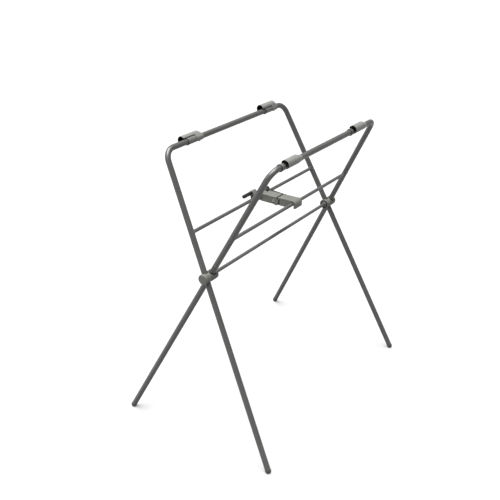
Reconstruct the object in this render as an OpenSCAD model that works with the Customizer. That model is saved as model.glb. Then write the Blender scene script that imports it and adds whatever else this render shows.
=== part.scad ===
// Folding stand for a baby bath: two bent tube frames cross at two pivots and a
// hooked brace between their crossbars locks them open. X runs along the rails,
// +Z is up and the origin is on the floor, under the middle of the stand.

/* [Stand] */
// Height of the pivot axis above the floor
pivot_h = 553; // [500:1:600]
// Distance between the two legs of one frame at the pivot axis
leg_span = 700; // [640:1:760]
// Distance along X between two legs that cross
leg_step = 20.4; // [20.2:0.1:24]
// Outside diameter of the frame tube
tube_d = 17.6; // [16:0.1:17.8]
// Wall of the frame tube
tube_wall = 1.5; // [1:0.1:2]
// Bend radius of the frame tube, on its centreline
bend_r = 38; // [34:1:40]
// Outside diameter of the crossbars
bar_d = 11; // [10:0.1:11]
// Wall of the crossbars
bar_wall = 1.2; // [1:0.1:1.4]

/* [Frame A] */
// Lean of frame A from upright
lean_a = 26.2; // [24:0.1:29]
// Outward splay of the legs of frame A
splay_a = 5.9; // [3:0.1:8]
// Distance along a leg of frame A from the pivot up to the rail
upper_a = 388; // [360:1:420]
// Distance along a leg of frame A from the pivot up to the crossbar
crossbar_up_a = 139; // [130:1:150]

/* [Frame B] */
// Lean of frame B from upright
lean_b = 27.2; // [24:0.1:29]
// Outward splay of the legs of frame B
splay_b = 7.5; // [3:0.1:8]
// Distance along a leg of frame B from the pivot up to the rail
upper_b = 390; // [360:1:420]
// Distance along a leg of frame B from the pivot up to the crossbar
crossbar_up_b = 141; // [130:1:150]

/* [Pivots] */
// Diameter of the pivot housings
housing_d = 33; // [30:1:40]
// Housing beyond the axis of the outer leg
housing_out = 14.5; // [12:0.5:20]
// Housing beyond the axis of the inner leg
housing_in = 16; // [12:0.5:20]
// Diameter of the pivot pins
pin_d = 8; // [6:1:8]

/* [Rim hooks] */
// Outward distance from the rail axis to the middle of the hood
hood_out = 8.3; // [8.1:0.1:8.6]
// Upward distance from the rail axis to the middle of the hood
hood_up = 7.7; // [7.5:0.1:8]
// Outside radius of the hood
hood_r = 13.4; // [13.2:0.1:13.6]
// Wall of the hood
hood_wall = 2; // [1.6:0.1:2.2]
// Length of the open hood along the rail
hood_len = 52; // [52:0.5:53]

/* [Brace] */
// Middle of the brace along X, from the middle of frame A
brace_x = 28; // [0:1:60]
// Width of the brace along X
brace_w = 38; // [36:1:44]
// Distance from crossbar A to the hinge pin of the hook
hinge_s = 55; // [54:0.5:56]
// Distance of the hinge pin below the crossbar axis
hinge_drop = 3; // [2.5:0.5:3.5]
// Distance of the lever grip from the axis of crossbar A
grip_reach = 21.6; // [21:0.1:24]
// Length of the lever grip
grip_len = 43; // [30:1:60]

/* [Hidden] */
$fn = 64;

// Index of each frame and of each end of the stand
A = 0;
B = 1;
near = -1;
far = 1;

// The driving sizes of both frames, by index
lean = [lean_a, lean_b];
splay = [splay_a, splay_b];
upper = [upper_a, upper_b];
crossbar_up = [crossbar_up_a, crossbar_up_b];
side = [1, -1];

// Tube and bar radii
tube_r = tube_d / 2;
tube_in = tube_r - tube_wall;
bar_r = bar_d / 2;
bar_in = bar_r - bar_wall;
pin_r = pin_d / 2;

// Fits: radial clearance of a fixed fit and of a running fit
snug = 0.05;
run = 0.08;

// Legs run from the pivot axis down to the floor
function leg_down(f) = pivot_h / (cos(lean[f]) * cos(splay[f]));
function foot_x(f) = leg_span / 2 + leg_down(f) * sin(splay[f]);
function foot_y(f) = leg_down(f) * cos(splay[f]) * sin(lean[f]);
// Height of a point of the frame above the pivot, in the frame's own plane
function in_plane(f, along) = along * cos(splay[f]);
// Half the width of the frame at a distance along its legs above the pivot
function half_width(f, along) = leg_span / 2 - along * sin(splay[f]);

// The origin is midway between the outermost feet
frame_x = [-leg_step / 2 + (foot_x(A) - foot_x(B)) / 2,
    leg_step / 2 + (foot_x(A) - foot_x(B)) / 2];
pivot_y = (foot_y(A) - foot_y(B)) / 2;

// Crossbar axes at rest
function bar_y(f) = pivot_y + side[f] * in_plane(f, crossbar_up[f]) * sin(lean[f]);
function bar_z(f) = pivot_h + in_plane(f, crossbar_up[f]) * cos(lean[f]);

// Corner bends
function turn(f) = 90 - splay[f];
function bend_cut(f) = bend_r * tan(turn(f) / 2);

// Pivot stack along X, from the plane midway between the crossing legs
leg_off = leg_step / 2;
washer_t = 1.2;
washer_gap = 0.15;
stack_mid = washer_t / 2 + washer_gap;
washer_r = 5.2;
stack_out = leg_off + housing_out;
stack_in = leg_off + housing_in;
cap_t = 2.6;
flange_t = 3;
boss_t = 3.4;
boss_r = 9;
bar_socket = 18;

// Frame parts

// Places its children in a frame's own plane: X along the rail, Z along the lean
module in_frame(f) {
    translate([frame_x[f], pivot_y, pivot_h]) rotate([-side[f] * lean[f], 0, 0]) children();
}

// A leg's axis as a cylinder, from one distance along it to another
module leg(f, end, r, from, to) {
    translate([end * leg_span / 2, 0, 0]) rotate([0, -end * splay[f], 0])
        translate([0, 0, from]) cylinder(r = r, h = to - from);
}

// A length of hollow tube along Z
module tube_length(r, r_in, length) {
    difference() {
        cylinder(r = r, h = length);
        translate([0, 0, -1]) cylinder(r = r_in, h = length + 2);
    }
}

// One bent corner of a frame. It is drawn a little fuller than the straight
// lengths, which lap into its two ends
bend_fuller = 0.1;
bend_lap = 1;
module corner(f, end) {
    top_x = half_width(f, upper[f]) - bend_cut(f);
    mirror([end == near ? 1 : 0, 0, 0])
        translate([top_x, 0, in_plane(f, upper[f]) - bend_r]) rotate([90, 0, 0])
            rotate([0, 0, splay[f]]) rotate_extrude(angle = turn(f))
                translate([bend_r, 0]) difference() {
                    circle(r = tube_r + bend_fuller);
                    circle(r = tube_in - bend_fuller);
                }
}

// A rod along X through a leg, at a distance along it from the pivot
module across_leg(f, end, along, r, length) {
    translate([end * half_width(f, along), 0, in_plane(f, along)])
        rotate([0, 90, 0]) cylinder(r = r, h = length, center = true);
}

foot_tube_gap = 12;
rivet_up = 40;
rivet_r = 2;

module frame(f) {
    leg_top = upper[f] - bend_cut(f) + bend_lap;
    rail_half = half_width(f, upper[f]) - bend_cut(f) + bend_lap;
    color("dimgray") in_frame(f) {
        for (end = [near, far]) {
            difference() {
                leg(f, end, tube_r, -leg_down(f) + foot_tube_gap, leg_top);
                leg(f, end, tube_in, -leg_down(f), leg_top + 1);
                across_leg(f, end, 0, pin_r + run, 2 * tube_d);
                across_leg(f, end, rivet_up, rivet_r + snug, 2 * tube_d);
            }
            corner(f, end);
        }
        difference() {
            translate([-rail_half, 0, in_plane(f, upper[f])]) rotate([0, 90, 0])
                tube_length(tube_r, tube_in, 2 * rail_half);
            for (at = hook_at[f])
                rail_screw_hole(f, at * leg_span / 2);
        }
    }
}

// Crossbars are cut to the legs' round sides and welded to them
weld_gap = 0.02;
module crossbar(f) {
    half = half_width(f, crossbar_up[f]);
    color("dimgray") in_frame(f) difference() {
        translate([-half, 0, in_plane(f, crossbar_up[f])]) rotate([0, 90, 0])
            tube_length(bar_r, bar_in, 2 * half);
        for (end = [near, far])
            leg(f, end, tube_r + weld_gap, 0, upper[f] / 2);
    }
}

// The flared weld round one end of a crossbar, where it meets the leg
flare_len = 7;
flare_r = 7.2;
flare_edge = 0.4;
module weld(f, end) {
    half = half_width(f, crossbar_up[f]);
    color("dimgray") in_frame(f) difference() {
        translate([0, 0, in_plane(f, crossbar_up[f])]) rotate([0, end * 90, 0])
            translate([0, 0, half - tube_r - flare_len])
                cylinder(r1 = bar_r + flare_edge, r2 = flare_r, h = flare_len + tube_r / 2);
        translate([-half, 0, in_plane(f, crossbar_up[f])]) rotate([0, 90, 0])
            cylinder(r = bar_r + weld_gap, h = 2 * half);
        leg(f, end, tube_r + weld_gap, 0, upper[f] / 2);
    }
}

// Plugs inside the legs carry the pivot pins and are held by a rivet
bush_below = 20;
bush_above = 50;
module leg_bushes(f) {
    color("gainsboro") in_frame(f) for (end = [near, far])
        difference() {
            leg(f, end, tube_in - snug, -bush_below, bush_above);
            across_leg(f, end, 0, pin_r + run, 2 * tube_d);
            across_leg(f, end, rivet_up, rivet_r + snug, 2 * tube_d);
        }
}

// Rivets go right through a leg; their heads are shaped to its surface
rivet_head_r = 3.4;
rivet_head_t = 0.6;
module leg_rivets(f) {
    color("silver") in_frame(f) for (end = [near, far]) {
        across_leg(f, end, rivet_up, rivet_r, tube_d + rivet_head_t);
        difference() {
            across_leg(f, end, rivet_up, rivet_head_r, tube_d + 2 * rivet_head_t);
            leg(f, end, tube_r + weld_gap, rivet_up - 2 * rivet_head_r, rivet_up + 2 * rivet_head_r);
        }
    }
}

// Feet: a plug in the tube and a round end, cut flat where it stands on the floor
foot_r = 9.3;
foot_ball_up = 7.5;
foot_plug = 22;
module foot(f, end) {
    ball = -leg_down(f) + foot_ball_up / (cos(lean[f]) * cos(splay[f]));
    seat = -leg_down(f) + foot_tube_gap;
    color("black") intersection() {
        in_frame(f) {
            leg(f, end, foot_r, ball, seat);
            leg(f, end, tube_in - snug, seat - 1, seat + foot_plug);
            intersection() {
                translate([end * leg_span / 2, 0, 0]) rotate([0, -end * splay[f], 0])
                    translate([0, 0, ball]) sphere(r = foot_r);
                leg(f, end, 2 * foot_r, ball - 2 * foot_r, ball + 0.5);
            }
        }
        translate([-leg_span, -leg_span, 0]) cube([2 * leg_span, 2 * leg_span, leg_span / 2]);
    }
}

// Pivots

// Middle of a pivot along X
function pivot_x(end) = end * leg_span / 2 + (frame_x[A] + frame_x[B]) / 2;

// Puts children on the pivot axis; +Z there runs along X, away from the stand's middle
module on_pivot(end) {
    translate([pivot_x(end), pivot_y, pivot_h]) rotate([0, end * 90, 0]) children();
}

// A drum round one leg: mouths let the leg in at its top and bottom, and the rim
// that meets the other drum is bevelled to clear the other leg
mouth_r = 10.6;
mouth_deep = 6;
mouth_wall = 0.6;
bevel_in = 3;
bevel_t = 1.2;
module housing(f, end) {
    outer = (f == A) == (end == near);
    way = outer ? 1 : -1;
    tall = outer ? stack_out - stack_mid : stack_in - stack_mid;
    rim = housing_d / 2;
    color([0.42, 0.43, 0.39]) difference() {
        on_pivot(end) translate([0, 0, way * stack_mid]) mirror([0, 0, outer ? 0 : 1]) {
            cylinder(r1 = rim - bevel_in, r2 = rim, h = bevel_t);
            translate([0, 0, bevel_t]) cylinder(r = rim, h = tall - bevel_t);
        }
        on_pivot(end) cylinder(r = pin_r + run, h = 4 * stack_out, center = true);
        in_frame(f) leg(f, end, tube_r + snug, -housing_d, housing_d);
        intersection() {
            in_frame(f) {
                leg(f, end, mouth_r, rim - mouth_deep, housing_d);
                leg(f, end, mouth_r, -housing_d, -rim + mouth_deep);
            }
            on_pivot(end) translate([0, 0, way * (stack_mid + mouth_wall)])
                mirror([0, 0, outer ? 0 : 1]) cylinder(r = housing_d, h = tall);
        }
    }
}

module pivot_washers() {
    color("whitesmoke") for (end = [near, far])
        on_pivot(end) difference() {
            cylinder(r = washer_r, h = washer_t, center = true);
            cylinder(r = pin_r + run, h = washer_t + 1, center = true);
        }
}

// Outer cap of a pivot: a shallow domed disc that hides the pin's head
cap_edge = 1;
cap_r = housing_d / 2 - 0.6;
module cap(end) {
    color([0.33, 0.33, 0.31]) on_pivot(end) translate([0, 0, stack_out]) difference() {
        union() {
            cylinder(r = cap_r, h = cap_t - cap_edge);
            translate([0, 0, cap_t - cap_edge]) cylinder(r1 = cap_r, r2 = cap_r - cap_edge, h = cap_edge);
        }
        translate([0, 0, -1]) cylinder(r = pin_head_r + 0.5, h = 1 + pin_head_t);
    }
}

// Pins run from under the caps, through both legs, into the ends of the pivot bar
pin_head_r = 6.5;
pin_head_t = 1.4;
module pivot_pins() {
    color("silver") for (end = [near, far])
        on_pivot(end) {
            translate([0, 0, -stack_in - bar_socket])
                cylinder(r = pin_r, h = stack_in + bar_socket + stack_out + 0.2);
            translate([0, 0, stack_out + 0.1]) cylinder(r = pin_head_r, h = pin_head_t - 0.3);
        }
}

// Inner flange: the disc and boss that hold the end of the pivot bar
groove_r = 10;
groove_w = 4;
groove_deep = 2.2;
module flange(end) {
    disc_end = -stack_in - flange_t;
    color([0.36, 0.36, 0.36]) on_pivot(end) difference() {
        union() {
            translate([0, 0, disc_end]) cylinder(r = housing_d / 2, h = flange_t);
            translate([0, 0, disc_end - boss_t]) cylinder(r = boss_r, h = boss_t + 1);
        }
        translate([0, 0, disc_end - boss_t - 1]) cylinder(r = bar_r + run, h = boss_t + flange_t + 0.5);
        translate([0, 0, -stack_in - 1]) cylinder(r = pin_r + run, h = 2);
        translate([0, 0, disc_end - 1]) difference() {
            cylinder(r = groove_r + groove_w, h = 1 + groove_deep);
            cylinder(r = groove_r, h = 1 + groove_deep);
        }
    }
}

// The thin bar along the pivot axis, from flange to flange
bar_core = 3.6;
module pivot_bar() {
    from = pivot_x(near) + stack_in + 0.6;
    long = pivot_x(far) - pivot_x(near) - 2 * stack_in - 1.2;
    color("dimgray") translate([from, pivot_y, pivot_h]) rotate([0, 90, 0]) difference() {
        cylinder(r = bar_r, h = long);
        translate([0, 0, -1]) cylinder(r = bar_core, h = long + 2);
        translate([0, 0, -1]) cylinder(r = pin_r + snug, h = bar_socket + 2);
        translate([0, 0, long - bar_socket - 1]) cylinder(r = pin_r + snug, h = bar_socket + 2);
    }
}

// Rim hooks on the rails

// For the near and far hook of each rail: where the hood starts, as a part of half
// the leg span, how far it is turned up from its middle position, and where its
// fixed collar starts, from the start of the hood
hook_at = [[-0.648, 0.512], [-0.703, 0.4]];
hook_turned = [[-18, 10], [0, 5]];
collar_from = [[12.5, 12.5], [-13.5, -6.5]];
// For each rail: where the hoods stop being full and where the sleeves end
hood_full = [74, 57];
sleeve_to = [84, 93];
sleeve_r = 10.4;
collar_r = 10.6;
collar_rim = 0.6;
collar_gap = 2;
lip_at = 154;
low_at = -62;
// The screws that keep the hooks on the rails stand in slots in the sleeves; they
// point down and a little inward, and let a hook turn between two angles
screw_r = 1.8;
screw_x = 70;
screw_lean = -15;
screw_head_r = 3.5;
screw_head_t = 1.8;
screw_head_up = 11.2;
slot_wide = 2.2;
turn_down = 25;
turn_up = 20;

// Places children on a rail with X along it, +Y outward and Z up
module on_rail(f, at) {
    in_frame(f) translate([at * leg_span / 2, 0, in_plane(f, upper[f])])
        rotate([side[f] * lean[f], 0, 0]) mirror([0, side[f] == 1 ? 0 : 1, 0]) children();
}

// A cylinder along X from one place to another
module along_x(from, to, r) {
    translate([from, 0, 0]) rotate([0, 90, 0]) cylinder(r = r, h = to - from);
}

module rail_screw_hole(f, x) {
    translate([x + screw_x, 0, in_plane(f, upper[f])]) rotate([side[f] * lean[f], 0, 0])
        mirror([0, side[f] == 1 ? 0 : 1, 0]) rotate([screw_lean, 0, 0])
            translate([0, 0, -tube_d]) cylinder(r = screw_r + snug, h = tube_d);
}

// A slot part of the way round a sleeve, wide enough for its screw at both stops
module screw_slot() {
    edge = asin((screw_r + 0.3) / tube_r);
    translate([screw_x, 0, 0]) rotate([0, 90, 0]) rotate([0, 0, screw_lean - turn_up - edge])
        rotate_extrude(angle = turn_up + turn_down + 2 * edge)
            translate([tube_r - 2, -slot_wide]) square([2 * tube_r, 2 * slot_wide]);
}

// A sleeve that turns on the rail; its outer side opens into a hood that closes
// over the rim of the bath
module hook(f, k) {
    full = hood_full[f];
    inner = hood_r - hood_wall;
    color([0.55, 0.56, 0.52]) on_rail(f, hook_at[f][k]) rotate([hook_turned[f][k], 0, 0])
    difference() {
        union() {
            difference() {
                translate([0, hood_out, hood_up]) along_x(0, hood_len, hood_r);
                translate([0, hood_out, hood_up]) along_x(-1, hood_len + 1, inner);
                translate([-1, hood_out, hood_up]) rotate([90, 0, 90])
                    linear_extrude(height = hood_len + 2) polygon(concat([[0, 0]],
                        [for (a = [lip_at, 190, 220, 250, 360 + low_at]) 2 * hood_r * [cos(a), sin(a)]]));
            }
            hull($fn = 32) {
                translate([0, hood_out, hood_up]) along_x(hood_len, full, hood_r);
                along_x(hood_len, full, sleeve_r);
                along_x(hood_len, sleeve_to[f], sleeve_r - 0.6);
            }
        }
        along_x(-1, sleeve_to[f] + 1, tube_r + run);
        screw_slot();
    }
}

// The fixed collar on the rail, under the hood
module collar(f, k) {
    from = collar_from[f][k];
    color([0.5, 0.51, 0.48]) on_rail(f, hook_at[f][k]) difference() {
        union() {
            along_x(from, hood_len - collar_gap, collar_r);
            along_x(from, from + 2, collar_r + collar_rim);
        }
        along_x(from - 1, hood_len, tube_r + snug);
    }
}

module hook_screws(f) {
    color("silver") for (at = hook_at[f])
        on_rail(f, at) translate([screw_x, 0, 0]) rotate([screw_lean, 0, 0]) {
            translate([0, 0, -screw_head_up - 1]) cylinder(r = screw_r, h = screw_head_up - 3);
            translate([0, 0, -screw_head_up - screw_head_t]) cylinder(r = screw_head_r, h = screw_head_t);
        }
}

// The brace and its release lever. It is drawn on its side: X there runs from
// crossbar A to crossbar B, Y is up and Z runs across it, away from the near end

brace_run = bar_y(A) - bar_y(B);
brace_rise = bar_z(B) - bar_z(A);
brace_span = norm([brace_run, brace_rise]);
brace_half = brace_w / 2;
arm_top = 12;
arm_top_end = 11.2;
arm_low = 14;
// The seam between the arm's top and the hook follows a round about the hinge pin
seam_turn = 18.6;
seam_gap = 2.2;
cheeks_to = 75.2;
cheeks_top = 5.3;
cheeks_gap = 2.8;
lap_low = 5.8;
window_from = -7.5;
window_s = 16;
knuckle_s = 65;
knuckle_low = 9.5;
knuckle_r = 7.2;
knuckle_proud = 0.7;
fork_half = 13;
fork_from = 26;
fork_top = 8;
tongue_half = 12.6;
tube_run_r = bar_r + run;
lever_r = 7.5;
hub_r = 12;
pin2_r = 2.5;
crank_up = 13;
link_s = 76;
link_up = 8;
link_pin_r = 2;
link_t = 2.2;
link_from = brace_half + 0.4;
crank_from = link_from + link_t + 0.4;
crank_t = 12;
cheek_to = -brace_half - 9.4;
cheek_t = 21.6;
hook_r = 13.4;
// The hook is loose on its crossbar. Its end reaches past the middle of the bar, and
// its lip has a round end
bar_room = bar_r + 1.1;
end_past = 1.9;
lip_r = 4.1;
lip_down = 8.8;
ramp = 55;

// Where a round about the hinge pin reaches a height
function round_s(r, up) = hinge_s + sqrt(r * r - (up + hinge_drop) * (up + hinge_drop));
function seam_point(gap, up) = [round_s(seam_turn + gap, up), up];

module in_brace() {
    translate([frame_x[A] + brace_x, bar_y(A), bar_z(A)])
        rotate([-atan2(brace_rise, brace_run), 0, 0]) rotate([90, 0, -90]) mirror([0, 0, 1]) children();
}

// A slab of the brace between two places across it
module slab(from, to) {
    translate([0, 0, from]) linear_extrude(height = to - from) children();
}

// The arm turns on the lever tube, which shows in an open window behind its flat
// top, and its fork holds the hook
module brace_arm() {
    color([0.45, 0.46, 0.42]) in_brace() difference() {
        union() {
            slab(-brace_half, brace_half) polygon([[0, -hub_r], [12, -arm_low], [cheeks_to, -arm_low],
                [cheeks_to, cheeks_top], seam_point(0, cheeks_top), seam_point(0, arm_top_end),
                [window_s, arm_top], [0, arm_top]]);
            translate([0, 0, -brace_half]) cylinder(r = hub_r, h = brace_w);
            translate([knuckle_s, -knuckle_low, -brace_half - knuckle_proud])
                cylinder(r = knuckle_r, h = brace_w + 2 * knuckle_proud);
        }
        translate([0, 0, -brace_half - 1]) cylinder(r = lever_r + run, h = brace_w + 2);
        translate([0, 0, -brace_half - 1]) cylinder(r = pocket_r, h = pocket_deep + 1);
        slab(window_from, brace_half + 1) translate([-2 * hub_r, 2])
            square([2 * hub_r + window_s, 2 * hub_r]);
        slab(-fork_half, fork_half) translate([fork_from, -2 * arm_low])
            square([cheeks_to + 5 - fork_from, 2 * arm_low + fork_top]);
        translate([hinge_s, -hinge_drop, -brace_half - 1]) cylinder(r = pin2_r + snug, h = brace_w + 2);
        for (way = [-1, 1])
            translate([hinge_s + 1.8, -hinge_drop - 8, way * brace_half])
                cylinder(r = 2.2, h = 6, center = true);
    }
}

// The hook turns on the hinge pin and drops over crossbar B. Its top laps over the
// arm's cheeks
module brace_hook() {
    low = cheeks_to + cheeks_gap;
    neck = round_s(seam_turn + seam_gap, 4.4);
    color([0.48, 0.49, 0.45]) in_brace() difference() {
        union() {
            slab(-tongue_half, tongue_half) polygon([[hinge_s, -hinge_drop - 6.5], [low + 2, -arm_low + 1],
                [low + 6, lap_low + 2], [neck, lap_low + 2], [neck, 3.5], [hinge_s, -hinge_drop + 6.5]]);
            translate([hinge_s, -hinge_drop, -tongue_half]) cylinder(r = 6.5, h = 2 * tongue_half);
            slab(-brace_half, brace_half) polygon([[low, -arm_low + 1], [low, lap_low],
                seam_point(seam_gap, lap_low), seam_point(seam_gap, arm_top_end), [low + 3, hook_r - 0.9],
                [brace_span + end_past, hook_r - 0.5], [brace_span + end_past, -hook_r + 0.5],
                [low + 2, -arm_low]]);
            translate([brace_span + end_past, 0, -brace_half]) cylinder(r = hook_r, h = brace_w);
            translate([brace_span, -lip_down, -brace_half]) {
                translate([hook_r + end_past - lip_r, 0, 0]) cylinder(r = lip_r, h = brace_w);
                translate([bar_r - 1, 0, 0]) cube([hook_r + end_past - bar_r + 0.95, lip_down, brace_w]);
            }
        }
        translate([brace_span, 0, -brace_half - 1]) cylinder(r = bar_room, h = brace_w + 2);
        translate([brace_span, 0]) slab(-brace_half - 1, brace_half + 1) polygon([
            [0, -bar_room + 0.001], [bar_room, 0], [bar_room, -2 * arm_low],
            [-bar_room * sin(ramp) - 2 * arm_low / tan(ramp), -2 * arm_low + bar_room * cos(ramp)],
            [-bar_room * sin(ramp), bar_room * cos(ramp)]]);
        translate([hinge_s, -hinge_drop, -brace_half]) cylinder(r = pin2_r + run, h = brace_w);
        translate([link_s, link_up, 4]) cylinder(r = link_pin_r + snug, h = brace_half);
    }
}

module hinge_pin() {
    color("silver") in_brace() translate([hinge_s, -hinge_drop, 0]) {
        cylinder(r = pin2_r, h = brace_w, center = true);
        translate([0, 0, -brace_half - 1]) cylinder(r = 4, h = 1);
    }
}

// The pin on the hook that the link plate holds
module catch_pin() {
    color("silver") in_brace() translate([link_s, link_up, 0]) {
        translate([0, 0, 4]) cylinder(r = link_pin_r, h = link_from + link_t + 0.4 - 4);
        translate([0, 0, link_from + link_t + 0.3]) cylinder(r = 3.4, h = 1.2);
    }
}

module lever_tube() {
    from = cheek_to - cheek_t;
    long = crank_from + crank_t - from;
    color("lightgray") in_brace() translate([0, 0, from]) difference() {
        cylinder(r = lever_r, h = long);
        translate([0, 0, -1]) cylinder(r = tube_run_r, h = long + 2);
    }
}

// A flat teardrop round the lever tube with a round end at a distance above it. Its
// straight sides start just inside both rounds
side_in = 0.05;
module teardrop(big, small, up, from, to) {
    swing = acos((big - small) / up);
    b = big - side_in;
    e = small - side_in;
    slab(from, to) polygon([[b * sin(swing), b * cos(swing)], [e * sin(swing), up + e * cos(swing)],
        [-e * sin(swing), up + e * cos(swing)], [-b * sin(swing), b * cos(swing)]]);
    translate([0, 0, from]) cylinder(r = big, h = to - from);
    translate([0, up, from]) cylinder(r = small, h = to - from);
}

cheek_r = 11.5;
cheek_end_r = 7;
module lever_cheek() {
    from = cheek_to - cheek_t;
    color([0.5, 0.51, 0.48]) in_brace() difference() {
        rotate([0, 0, lean_a]) teardrop(cheek_r, cheek_end_r, grip_reach, from, cheek_to);
        translate([0, 0, from - 1]) cylinder(r = lever_r + snug, h = cheek_t + 2);
        rotate([0, 0, lean_a]) translate([0, grip_reach, from - 1])
            cylinder(r = grip_rod_r + snug, h = cheek_t - 3);
    }
}

grip_rod_r = 3;
grip_r = 6;
module grip_rod() {
    color("silver") in_brace() rotate([0, 0, lean_a])
        translate([0, grip_reach, cheek_to - cheek_t - grip_len + 6])
            cylinder(r = grip_rod_r, h = grip_len - 6 + cheek_t - 5);
}

module lever_grip() {
    from = cheek_to - cheek_t - grip_len;
    color([0.12, 0.12, 0.12]) in_brace() rotate([0, 0, lean_a]) translate([0, grip_reach, from])
    difference() {
        union() {
            cylinder(r1 = grip_r - 1.2, r2 = grip_r, h = 1.2);
            translate([0, 0, 1.2]) cylinder(r = grip_r, h = grip_len - 1.2);
        }
        translate([0, 0, 5.5]) cylinder(r = grip_rod_r + snug, h = grip_len);
    }
}

module lever_crank() {
    color([0.14, 0.14, 0.14]) in_brace() difference() {
        teardrop(10.5, 5.5, crank_up, crank_from, crank_from + crank_t);
        translate([0, 0, crank_from - 1]) cylinder(r = lever_r + snug, h = crank_t + 2);
        translate([0, crank_up, crank_from - 1]) cylinder(r = link_pin_r + snug, h = 8);
    }
}

module crank_pin() {
    color("silver") in_brace() translate([0, crank_up, link_from - 0.2])
        cylinder(r = link_pin_r, h = crank_from - link_from + 6);
}

// The link plate joins the crank pin to the catch pin
module link_plate() {
    rise = link_up - crank_up;
    angle = atan2(rise, link_s);
    color([0.1, 0.1, 0.1]) in_brace() difference() {
        union() {
            slab(link_from, link_from + link_t) translate([0, crank_up]) rotate([0, 0, angle])
                translate([0, -3]) square([norm([link_s, rise]), 6]);
            for (p = [[0, crank_up], [link_s, link_up]])
                translate([p[0], p[1], link_from]) cylinder(r = 4.4, h = link_t);
        }
        for (p = [[0, crank_up, run], [link_s, link_up, 0.4]])
            translate([p[0], p[1], link_from - 1]) cylinder(r = link_pin_r + p[2], h = link_t + 2);
    }
}

// The spring that returns the lever: one length of wire wound round the lever tube,
// in a pocket of the arm's hub
wire_r = 0.6;
coil_r = 8.6;
coil_pitch = 1.7;
coil_turns = 4.5;
coil_rings = 12;
coil_last = coil_turns * coil_rings;
pocket_r = 9.7;
pocket_deep = 9.6;
function coil_ring(i) = [for (j = [0:5])
    let(out = coil_r + wire_r * cos(60 * j), turned = 360 * i / coil_rings)
    [out * cos(turned), out * sin(turned), coil_pitch * i / coil_rings + wire_r * sin(60 * j)]];
coil_points = [for (i = [0:coil_last]) each coil_ring(i)];
coil_sides = [for (i = [0:coil_last - 1], j = [0:5])
    let(a = 6 * i + j, b = 6 * i + (j + 1) % 6) each [[a, b, b + 6], [a, b + 6, a + 6]]];
coil_ends = [[0, 3, 2], [0, 2, 1], [0, 5, 4], [0, 4, 3],
    for (t = [[0, 1, 2], [0, 2, 3], [0, 3, 4], [0, 4, 5]]) [for (k = t) 6 * coil_last + k]];
coil_gap = min([for (i = [0:6 * (coil_last - coil_rings) + 5])
    norm(coil_points[i + 6 * coil_rings] - coil_points[i])]) - 2 * wire_r;
echo("least gap between turns of the lever spring, mm", coil_gap);
module lever_spring() {
    color("darkgray") in_brace() translate([0, 0, -brace_half + 0.3 + wire_r])
        polyhedron(points = coil_points, faces = concat(coil_sides, coil_ends));
}

frame(A);  // frame_a
frame(B);  // frame_b
crossbar(A);  // crossbar_a
crossbar(B);  // crossbar_b
weld(A, near);  // weld_a_near
weld(A, far);  // weld_a_far
weld(B, near);  // weld_b_near
weld(B, far);  // weld_b_far
pivot_bar();
pivot_pins();
pivot_washers();
housing(A, near);  // housing_a_near
housing(A, far);  // housing_a_far
housing(B, near);  // housing_b_near
housing(B, far);  // housing_b_far
cap(near);  // cap_near
cap(far);  // cap_far
flange(near);  // flange_near
flange(far);  // flange_far
leg_bushes(A);  // leg_bushes_a
leg_bushes(B);  // leg_bushes_b
leg_rivets(A);  // leg_rivets_a
leg_rivets(B);  // leg_rivets_b
foot(A, near);  // foot_a_near
foot(A, far);  // foot_a_far
foot(B, near);  // foot_b_near
foot(B, far);  // foot_b_far
hook(A, 0);  // hook_a_near
hook(A, 1);  // hook_a_far
hook(B, 0);  // hook_b_near
hook(B, 1);  // hook_b_far
collar(A, 0);  // collar_a_near
collar(A, 1);  // collar_a_far
collar(B, 0);  // collar_b_near
collar(B, 1);  // collar_b_far
hook_screws(A);  // hook_screws_a
hook_screws(B);  // hook_screws_b
brace_arm();
brace_hook();
hinge_pin();
catch_pin();
lever_tube();
lever_cheek();
grip_rod();
lever_grip();
lever_crank();
crank_pin();
link_plate();
lever_spring();
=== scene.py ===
import math

import bmesh
import bpy
from mathutils import Matrix, Vector


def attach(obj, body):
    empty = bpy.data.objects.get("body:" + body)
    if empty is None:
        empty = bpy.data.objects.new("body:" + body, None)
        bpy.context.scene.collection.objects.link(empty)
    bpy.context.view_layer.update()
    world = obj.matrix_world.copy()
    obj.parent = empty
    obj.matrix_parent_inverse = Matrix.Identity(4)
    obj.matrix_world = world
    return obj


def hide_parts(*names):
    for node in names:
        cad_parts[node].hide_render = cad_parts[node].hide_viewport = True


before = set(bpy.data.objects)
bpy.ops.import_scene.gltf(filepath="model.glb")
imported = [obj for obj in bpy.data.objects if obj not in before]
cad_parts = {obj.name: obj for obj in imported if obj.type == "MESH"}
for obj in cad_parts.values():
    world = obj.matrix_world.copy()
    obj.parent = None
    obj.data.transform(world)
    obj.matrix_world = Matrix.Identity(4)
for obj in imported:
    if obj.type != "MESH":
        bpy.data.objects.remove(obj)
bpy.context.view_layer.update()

MM = 0.001
rad = math.radians
scene = bpy.context.scene

# ---------------------------------------------------------------- sizes, in mm, as in the part's source
pivot_h, leg_span, leg_step = 553.0, 700.0, 20.4
lean = {"a": 26.2, "b": 27.2}
splay = {"a": 5.9, "b": 7.5}
upper = {"a": 388.0, "b": 390.0}
crossbar_up = {"a": 139.0, "b": 141.0}
side = {"a": 1, "b": -1}
tube_r, bar_r, bend_r = 8.8, 5.5, 38.0
brace_x, brace_half = 28.0, 19.0
hinge_s, hinge_drop = 55.0, 3.0
link_s, link_up, crank_up = 76.0, 8.0, 13.0
near, far = -1, 1
names = {near: "near", far: "far"}


def leg_down(f):
    """Length of a leg from the pivot axis to the floor."""
    return pivot_h / (math.cos(rad(lean[f])) * math.cos(rad(splay[f])))


def foot_x(f):
    """Distance of the feet of a frame from its middle, along the rail."""
    return leg_span / 2 + leg_down(f) * math.sin(rad(splay[f]))


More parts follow.
